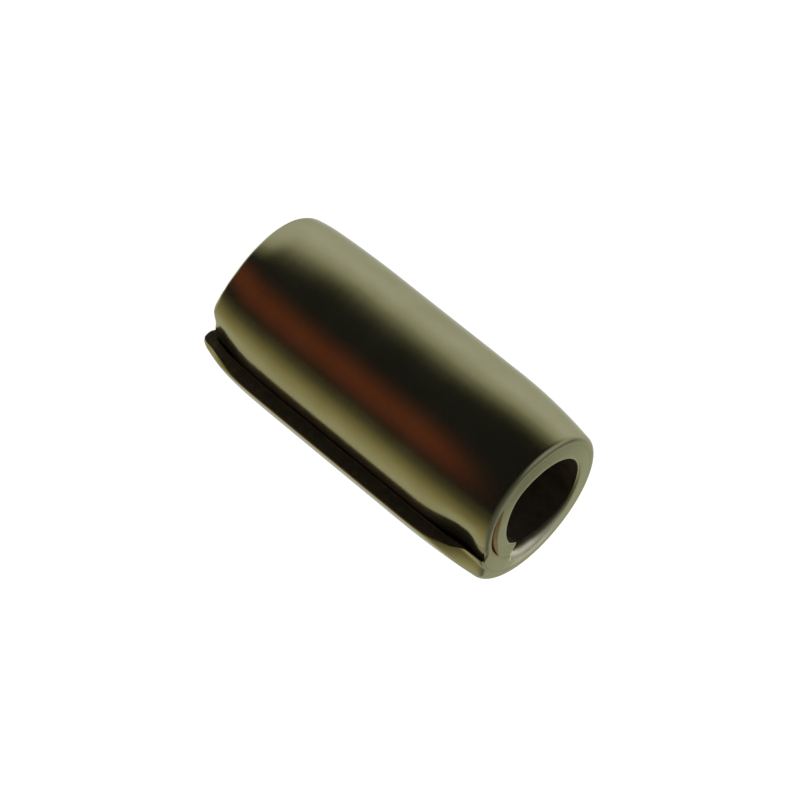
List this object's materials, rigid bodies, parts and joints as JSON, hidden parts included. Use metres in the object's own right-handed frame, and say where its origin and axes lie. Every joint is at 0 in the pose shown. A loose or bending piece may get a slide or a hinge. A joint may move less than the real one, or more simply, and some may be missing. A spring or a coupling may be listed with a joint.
{
  "type": "coiled spring pin",
  "caption": "Short coiled spring pin: one strip of steel rolled into a tube with rounded ends, driven into a slightly smaller drilled hole to lock two parts together.",
  "frame": {"origin": "Lowest point of the pin, on the centre line of the circle round the coil.", "axes": "+Z along the pin's length, from the end whose free-edge corner stands past the coil to the more strongly rounded end. +X towards the strip's free outer edge."},
  "size_m": [0.0108, 0.0108, 0.022],
  "materials": {
    "spring_steel": "oiled, smooth, semi-gloss, dark olive grey"
  },
  "bodies": {
    "root": {"coiled_pin": "spring_steel"}
  },
  "joints": []
}
